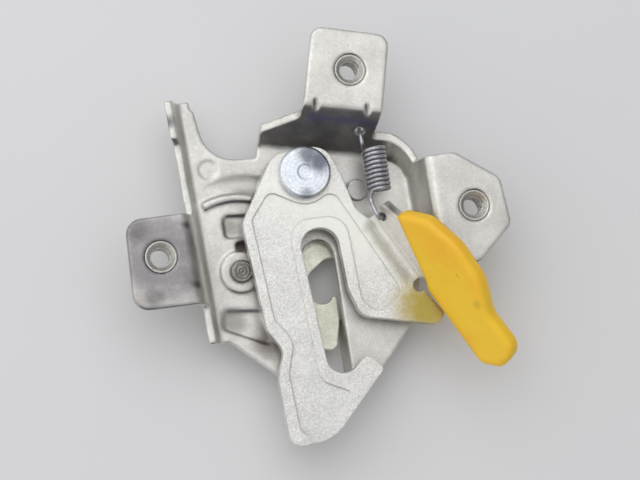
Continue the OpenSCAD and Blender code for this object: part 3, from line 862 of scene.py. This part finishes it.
@dataclass
class Studio:
    """Camera, pale floor and soft lamps."""

    distance: float = 0.6
    lens: float = 103.85
    aim: Vector = field(default_factory=lambda: on_floor(0.0, 0.0, 0.0))
    toward: Vector = field(default_factory=lambda: Vector((-0.21025, -0.12225, 0.96997)))
    up: Vector = field(default_factory=lambda: Vector((0.1256, 0.9806, 0.1508)))
    floor_reach: float = 1.5
    floor_cloud: float = 6.0
    floor_dark: Color = (0.78, 0.79, 0.80)
    floor_light: Color = (0.84, 0.84, 0.85)
    floor_rough: float = 0.85
    room_low: Color = (0.18, 0.18, 0.19)
    room_high: Color = (0.51, 0.51, 0.52)
    glow: Color = (0.98, 0.94, 0.88)
    glow_from: Point = (-0.92, -0.37, 0.12)
    lamps: tuple[Lamp, ...] = (
        Lamp("overhead_soft", (-0.1, 0.4, 0.85), 1.1, 2.7),
        Lamp("left_soft", (-0.55, 0.5, 0.7), 1.5, 3.6),
    )

    def camera(self) -> None:
        """Stand the camera where the photograph was taken from."""
        made = bpy.data.cameras.new("photo_camera")
        made.lens = self.lens
        made.sensor_width = 36.0
        made.clip_start = 0.01
        piece = bpy.data.objects.new("photo_camera", made)
        back = self.toward.normalized()
        right = self.up.cross(back).normalized()
        up = back.cross(right)
        spot = self.aim + back * self.distance
        piece.matrix_world = Matrix(
            (
                (right.x, up.x, back.x, spot.x),
                (right.y, up.y, back.y, spot.y),
                (right.z, up.z, back.z, spot.z),
                (0.0, 0.0, 0.0, 1.0),
            )
        )
        bpy.context.scene.collection.objects.link(piece)
        bpy.context.scene.camera = piece

    def floor(self, level: float) -> None:
        """Lay the pale floor under the part.

        Args:
            level: height of the floor, in metres.
        """
        far = self.floor_reach
        corners = ((-far, -far), (far, -far), (far, far), (-far, far))
        piece = mesh_piece("floor", [Vector((x, y, level)) for x, y in corners], [(0, 1, 2, 3)])
        made = bpy.data.materials.new("pale_floor")
        made.use_nodes = True
        graph = Graph(made.node_tree)
        shader = made.node_tree.nodes["Principled BSDF"]
        color = graph.mix(graph.noise(self.floor_cloud), self.floor_dark, self.floor_light)
        graph.feed(shader.inputs["Base Color"], color)
        shader.inputs["Roughness"].default_value = self.floor_rough
        dress(piece, made)
        piece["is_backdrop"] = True

    def hang(self, lamp: Lamp) -> None:
        """Hang one lamp so that it faces the part.

        Args:
            lamp: the lamp to hang.
        """
        made = bpy.data.lights.new(lamp.name, "AREA")
        made.size = lamp.side
        made.energy = lamp.watts
        away = Vector(lamp.at)
        piece = bpy.data.objects.new(lamp.name, made)
        piece.location = self.aim + away
        piece.rotation_euler = (-away).to_track_quat("-Z", "Y").to_euler()
        bpy.context.scene.collection.objects.link(piece)

    def light(self) -> None:
        """Light the part from above and from the upper left, in a dim room with one pale side."""
        for lamp in self.lamps:
            self.hang(lamp)
        world = bpy.data.worlds.new("room")
        world.use_nodes = True
        graph = Graph(world.node_tree)
        coords = graph.add("ShaderNodeTexCoord").outputs["Generated"]
        parts = graph.add("ShaderNodeSeparateXYZ")
        graph.feed(parts.inputs[0], coords)
        sky = graph.mix(graph.remap(parts.outputs["Z"], -0.1, 0.9), self.room_low, self.room_high)
        beside = graph.remap(graph.vector("DOT_PRODUCT", coords, self.glow_from), 0.72, 0.97)
        ground = world.node_tree.nodes["Background"]
        graph.feed(ground.inputs["Color"], graph.mix(beside, sky, self.glow))
        ground.inputs["Strength"].default_value = 1.0
        bpy.context.scene.world = world

    def build(self, level: float) -> None:
        """Set up the whole studio.

        Args:
            level: height of the floor, in metres.
        """
        self.camera()
        self.floor(level)
        self.light()
        bpy.context.scene.view_settings.view_transform = "Standard"


@dataclass
class LatchTray:
    """Base tray with its weld nuts and pivot pins."""

    nodes: dict[str, bpy.types.Object]
    effects: EffectLibrary
    bolts: tuple[tuple[float, float], ...] = ((15.5, 52.0), (49.3, 3.1), (-53.9, -0.6))
    thread_low: float = 6.3
    thread_high: float = 12.6
    thread_pitch: float = 1.25
    thread_steps: int = 36
    # half heights of a thread at its crest and in the bore, as shares of the pitch
    thread_land: float = 0.08
    thread_foot: float = 0.48
    bore: float = 3.36
    crest: float = 2.98
    web_facing: Point = (-0.157, -0.738, 0.656)
    press_grid: float = 0.48
    press_rounds: int = 3

    def finishes(self) -> dict[str, Plating]:
        """Return the finish of each node of the tray."""
        purple, smoke = (0.25, 0.232, 0.25), (0.13, 0.12, 0.125)
        return {
            "base_plate": Plating(
                "tray_plating",
                (0.57, 0.56, 0.52),
                (0.90, 0.89, 0.85),
                mottle=85.0,
                sparkle=0.07,
                bump=0.07,
                soften=0.0008,
                # stronger painted shade in the tray's corners and pockets
                corner_shade_gain=0.6,
                corner_shade_reach=0.008,
                # painted shade and dark reflection on the top web
                wall_shade_facing=self.web_facing,
                wall_shade_gain=0.95,
                stains_and_shades=(
                    StainAndShade((-54.0, -1.0, 14.0), 24.0, purple, 0.9),
                    StainAndShade((-60.0, 9.5, 14.0), 7.0, smoke, 0.6),
                    StainAndShade((-45.5, -8.0, 14.0), 5.5, smoke, 0.5),
                    StainAndShade((-58.0, -13.0, 14.0), 4.5, smoke, 0.5),
                    # painted shade in the two pressed darts at the left tab's bend
                    StainAndShade((-43.2, -10.5, 13.2), 1.9, smoke, 0.95),
                    StainAndShade((-43.9, 8.5, 13.2), 1.9, smoke, 0.95),
                    # painted shade in the low notch of the left flange by its top lug
                    StainAndShade((-44.5, 43.0, 6.0), 3.6, (0.10, 0.10, 0.11), 0.85),
                    # painted shade in the floor's pockets, under the lever's edge and in the slit
                    StainAndShade((-32.0, -22.5, -1.0), 6.5, (0.36, 0.335, 0.32), 0.8),
                    StainAndShade((-22.0, -31.0, -0.5), 7.5, (0.25, 0.21, 0.20), 0.85),
                    StainAndShade((-28.6, 8.2, -1.0), 4.2, (0.36, 0.345, 0.31), 0.8),
                    StainAndShade((-25.5, 1.6, -1.2), 3.4, (0.18, 0.12, 0.12), 0.95),
                ),
                streaks=(
                    # painted light on the corner wall under the spring
                    Streak((27.4, 26.1, 5.0), (31.3, 22.6, 5.0), 5.0, (0.96, 0.94, 0.88), 0.9),
                    Streak((31.3, 22.6, 5.0), (33.0, 16.4, 5.0), 5.0, (0.96, 0.94, 0.88), 0.9),
                    # painted purple-blue reflection on the top web under its bend
                    Streak((1.1, 38.6, 10.5), (24.5, 33.6, 10.5), 2.6, (0.17, 0.16, 0.27), 0.8),
                    # painted highlight along the floor's pressed bead below the web
                    Streak((-14.0, 32.6, 0.2), (22.0, 25.0, 0.2), 1.7, (0.92, 0.91, 0.87), 0.8),
                    # painted shade in the two pressed darts at the top tab's bend
                    Streak((2.3, 43.5, 14.0), (1.6, 40.0, 11.5), 0.8, smoke, 0.95),
                    Streak((18.9, 40.0, 14.0), (18.2, 36.5, 11.5), 0.8, smoke, 0.95),
                    # painted highlight along the right tab's bend
                    Streak((35.2, 20.0, 13.4), (35.2, -4.0, 13.4), 1.5, (1.0, 0.99, 0.96), 0.9),
                    # painted highlight along the floor's left ridge
                    Streak((-38.6, 46.0, 0.3), (-36.6, -30.0, 0.3), 1.0, (0.97, 0.96, 0.92), 0.7),
                    # painted light on the left wall between the tab and the ridge
                    Streak((-41.4, 18.0, 7.0), (-40.2, -18.0, 7.0), 4.6, (0.97, 0.96, 0.93), 0.9),
                    # painted highlight along the lower-left rim
                    Streak((-36.0, -28.6, 0.0), (-17.0, -43.0, 0.0), 2.4, (0.93, 0.92, 0.88), 0.6),
                ),
            ),
            "weld_nuts": Plating("nut_plating", (0.52, 0.51, 0.48), (0.80, 0.79, 0.75), corner_shade_gain=0.2),
            "main_rivet": Plating(
                "rivet_plating",
                (0.62, 0.66, 0.72),
                (0.88, 0.92, 0.98),
                low=0.2,
                high=0.34,
                bump=0.14,
                corner_shade_gain=0.3,
                turned=Turned((-3.3, 21.4), 1.3, gain=0.1, depth=0.3),
                stains_and_shades=(
                    # painted dark reflection on the upper right of the rivet head
                    StainAndShade((2.0, 24.6, 9.2), 6.4, (0.13, 0.14, 0.18), 0.92),
                    StainAndShade((-1.6, 27.0, 9.2), 5.0, (0.15, 0.16, 0.19), 0.85),
                    StainAndShade((-4.0, 14.2, 9.2), 3.4, (0.20, 0.21, 0.24), 0.7),
                ),
            ),
            "claw_pin": Plating(
                "claw_pin_steel",
                (0.17, 0.165, 0.15),
                (0.42, 0.41, 0.38),
                bump=0.5,
                turned=Turned((-27.3, -7.0), 1.1),
            ),
            "pawl_pin": Plating("pawl_pin_steel", (0.52, 0.51, 0.49), (0.74, 0.73, 0.70)),
        }

    def threads(self, finish: bpy.types.Material) -> None:
        """Cut the look of a thread into each nut bore.

        Args:
            finish: material of the nuts.
        """
        section = (
            (self.bore, -self.thread_foot),
            (self.crest, -self.thread_land),
            (self.crest, self.thread_land),
            (self.bore, self.thread_foot),
        )
        steps = self.thread_steps
        turns = (self.thread_high - self.thread_low) / self.thread_pitch
        count = int(turns * steps)
        faces = sweep_faces(count + 1, len(section))
        for number, (x, y) in enumerate(self.bolts):
            verts: list[Vector] = []
            for i in range(count + 1):
                angle = 2 * math.pi * i / steps
                z = self.thread_low + self.thread_pitch * i / steps
                for r, rise in section:
                    height = min(max(z + rise * self.thread_pitch, self.thread_low), self.thread_high)
                    verts.append(on_floor(x + r * math.cos(angle), y + r * math.sin(angle), height))
            piece = mesh_piece(f"nut_thread_{number + 1}", verts, faces)
            dress(piece, finish)
            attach(piece, Body.BASE.value)

    def build(self) -> None:
        """Dress the tray, the nuts and the pins, and cut the threads."""
        made = {name: finish.material(self.effects) for name, finish in self.finishes().items()}
        for name, finish in made.items():
            dress(self.nodes[name], finish)
        soften(self.nodes["base_plate"], self.press_grid, self.press_rounds)
        self.threads(made["weld_nuts"])


@dataclass
class HandLever:
    """Safety lever with its coated handle and its extension spring."""

    nodes: dict[str, bpy.types.Object]
    effects: EffectLibrary
    coil_top: Point = (20.2, 26.8, 9.0)
    coil_low: Point = (19.8, 12.2, 9.4)
    coil_mean: float = 3.4
    wire: float = 0.68
    turns: float = 10.0
    # points at each end of the coil that its hooks take over, and steps between a hook's points
    hook_join: int = 3
    hook_steps: int = 8
    coat_grid: float = 0.4
    coat_rounds: int = 22
    web_hook: tuple[Point, ...] = (
        (17.5, 35.6, 5.0),
        (17.2, 34.3, 6.2),
        (16.9, 32.65, 7.6),
        (16.65, 31.2, 8.8),
        (16.6, 29.4, 9.4),
        (16.7, 28.2, 9.2),
    )
    blade_hook: tuple[Point, ...] = (
        (16.5, 9.8, 10.0),
        (16.8, 6.6, 11.1),
        (17.5, 4.2, 11.5),
        (18.3, 3.2, 10.7),
        (19.4, 3.69, 9.75),
        (20.7, 4.36, 8.7),
        (22.0, 5.05, 7.7),
        (22.7, 5.9, 7.55),
        (22.8, 7.2, 8.3),
    )

    def finishes(self) -> dict[str, Plating]:
        """Return the finish of each plated node of the lever."""
        return {
            "safety_lever": Plating(
                "lever_plating",
                (0.67, 0.665, 0.64),
                (0.94, 0.935, 0.91),
                grain=2600.0,
                bump=0.3,
                sparkle=0.34,
                # stronger painted highlight and wear along the lever's edges
                worn_edge_highlight_gain=7.0,
                stains_and_shades=(
                    # painted yellow reflection of the handle on the lever's lobe
                    StainAndShade((30.5, -27.0, 6.8), 15.5, (0.50, 0.40, 0.10), 1.0),
                    # painted shade in the relief notch at the blade's foot
                    StainAndShade((28.8, -19.6, 5.6), 3.0, (0.07, 0.065, 0.055), 0.95),
                    StainAndShade((22.3, 5.9, 11.7), 4.2, (0.38, 0.37, 0.36), 0.65),
                ),
                streaks=(
                    Streak((-10.0, 18.0, 6.8), (14.0, -2.0, 6.8), 18.0, (0.92, 0.92, 0.86), 0.85),
                    # painted light on the blade's face
                    Streak((19.4, 5.6, 15.0), (29.6, -14.0, 15.0), 7.0, (1.0, 0.96, 0.89), 0.9),
                    Streak((21.2, 6.2, 10.6), (24.0, 4.4, 15.0), 2.6, (0.22, 0.205, 0.19), 0.9),
                    # painted shade and dark reflection beside the blade's crease
                    Streak((15.6, 1.0, 6.8), (24.6, -16.6, 6.8), 3.2, (0.30, 0.28, 0.19), 0.6),
                    # painted highlights along the blade's crease
                    Streak((17.0, 4.6, 7.4), (28.0, -16.6, 7.4), 0.7, (1.0, 0.99, 0.97), 1.0),
                    Streak((17.9, 4.9, 8.5), (28.8, -16.2, 8.5), 0.5, (1.0, 0.99, 0.97), 0.9),
                ),
            ),
            "lever_spring": Plating(
                "extension_spring_wire",
                (0.34, 0.34, 0.37),
                (0.64, 0.64, 0.69),
                low=0.26,
                high=0.4,
                bump=0.06,
                soften=0.0002,
            ),
        }

    def spring(self, finish: bpy.types.Material) -> None:
        """Wind the extension spring with its two hooks.

        Args:
            finish: material of the wire.
        """
        top, low = on_floor(*self.coil_top), on_floor(*self.coil_low)
        coil = helix(top, low, self.coil_mean / MM_IN_M, self.turns, math.pi)
        upper = [on_floor(*p) for p in self.web_hook]
        lower = [on_floor(*p) for p in self.blade_hook]
        coil = coil[self.hook_join : -self.hook_join]
        path = [
            *smooth_path([*upper, coil[0]], self.hook_steps)[:-1],
            *coil,
            *smooth_path([coil[-1], *lower], self.hook_steps)[1:],
        ]
        piece = wire_mesh("extension_spring", path, self.wire / MM_IN_M)
        dress(piece, finish)
        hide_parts("lever_spring")
        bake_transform(piece)

    def build(self) -> None:
        """Dress the lever and its handle, and wind the spring."""
        made = {name: finish.material(self.effects) for name, finish in self.finishes().items()}
        dress(self.nodes["safety_lever"], made["safety_lever"])
        dress(self.nodes["handle_coating"], DipCoat().material(self.effects))
        soften(self.nodes["handle_coating"], self.coat_grid, self.coat_rounds)
        self.spring(made["lever_spring"])


@dataclass(frozen=True)
class TorsionSpring:
    """Torsion spring round a pin, its legs from the coil outwards, in millimetres on the tray floor."""

    node: str
    pivot: tuple[float, float]
    moving: Body
    fixed: tuple[Point, ...]
    free: tuple[Point, ...]


@dataclass
class ClawSet:
    """Claw and pawl behind the tray, with their torsion springs."""

    nodes: dict[str, bpy.types.Object]
    effects: EffectLibrary
    coil_radius: float = 5.7
    coil_low: float = -10.9
    coil_high: float = -8.1
    wire: float = 0.68
    turns: float = 2.0
    # steps between two points of a leg
    leg_steps: int = 6
    springs: tuple[TorsionSpring, ...] = (
        TorsionSpring(
            "claw_spring",
            (-27.3, -7.0),
            Body.CLAW,
            fixed=(
                (-33.0, -7.0, -9.5),
                (-35.6, -0.2, -9.5),
                (-37.4, 4.6, -9.5),
                (-37.6, 5.2, -8.0),
                (-37.6, 5.0, -2.6),
            ),
            free=(
                (-27.3, -1.2, -9.5),
                (-22.0, 2.3, -9.5),
                (-17.4, 5.4, -9.5),
                (-17.0, 5.7, -8.4),
                (-17.0, 5.6, -4.4),
            ),
        ),
        TorsionSpring(
            "pawl_spring",
            (14.8, 14.8),
            Body.PAWL,
            fixed=(
                (14.8, 20.4, -9.5),
                (9.4, 21.9, -9.5),
                (4.4, 23.3, -9.5),
                (4.0, 23.5, -8.0),
                (4.0, 23.4, -2.6),
            ),
            free=(
                (20.4, 14.8, -9.5),
                (22.8, 12.2, -9.5),
                (25.0, 9.8, -9.5),
                (25.2, 9.5, -8.4),
                (25.2, 9.6, -4.4),
            ),
        ),
    )

    def finishes(self) -> dict[str, Plating]:
        """Return the finish of each node behind the tray."""
        return {
            "claw": Plating(
                "claw_plating",
                (0.62, 0.61, 0.50),
                (0.95, 0.94, 0.82),
                mottle=110.0,
                corner_shade_gain=0.3,
                sparkle=0.1,
                # painted shade on the claw where it shows through the slit
                stains_and_shades=(StainAndShade((-25.5, 1.6, -3.9), 4.6, (0.18, 0.12, 0.12), 0.95),),
            ),
            "pawl": Plating("pawl_plating", (0.52, 0.51, 0.48), (0.78, 0.77, 0.73)),
            "torsion": Plating(
                "torsion_spring_wire",
                (0.26, 0.26, 0.27),
                (0.50, 0.50, 0.52),
                bump=0.06,
                soften=0.0002,
            ),
        }

    def torsion(self, spring: TorsionSpring, finish: bpy.types.Material) -> None:
        """Wind one torsion spring with its two legs.

        Args:
            spring: its place and its legs.
            finish: material of the wire.
        """
        fixed = [on_floor(*p) for p in spring.fixed]
        free = [on_floor(*p) for p in spring.free]
        low = on_floor(*spring.pivot, self.coil_low + self.wire)
        high = on_floor(*spring.pivot, self.coil_high - self.wire)
        start = math.atan2(*reversed((fixed[0] - low).xy))
        stop = math.atan2(*reversed((free[0] - low).xy))
        turns = self.turns + ((stop - start) / (2 * math.pi)) % 1.0
        coil = helix(low, high, self.coil_radius / MM_IN_M, turns, start)
        path = [
            *reversed(smooth_path([coil[0], *fixed[1:]], self.leg_steps)),
            *coil[1:-1],
            *smooth_path([coil[-1], *free[1:]], self.leg_steps),
        ]
        piece = wire_mesh(f"{spring.node}_coil", path, self.wire / MM_IN_M)
        dress(piece, finish)
        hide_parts(spring.node)
        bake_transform(piece)

    def build(self) -> None:
        """Dress the claw and the pawl, and wind their springs."""
        made = {name: finish.material(self.effects) for name, finish in self.finishes().items()}
        dress(self.nodes["claw"], made["claw"])
        dress(self.nodes["pawl"], made["pawl"])
        for spring in self.springs:
            self.torsion(spring, made["torsion"])


def main() -> None:
    """Load the frame, build the latch's pieces and keep the sizes."""
    logging.basicConfig(level=logging.INFO, format="%(name)s: %(message)s")
    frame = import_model()
    cad_low, cad_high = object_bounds()
    nodes = frame["nodes"]
    effects = EffectLibrary()
    for assembly in (LatchTray(nodes, effects), HandLever(nodes, effects), ClawSet(nodes, effects)):
        assembly.build()
        LOG.info("built %s", type(assembly).__name__)
    Studio().build(cad_low[2])


if __name__ == "__main__":
    main()
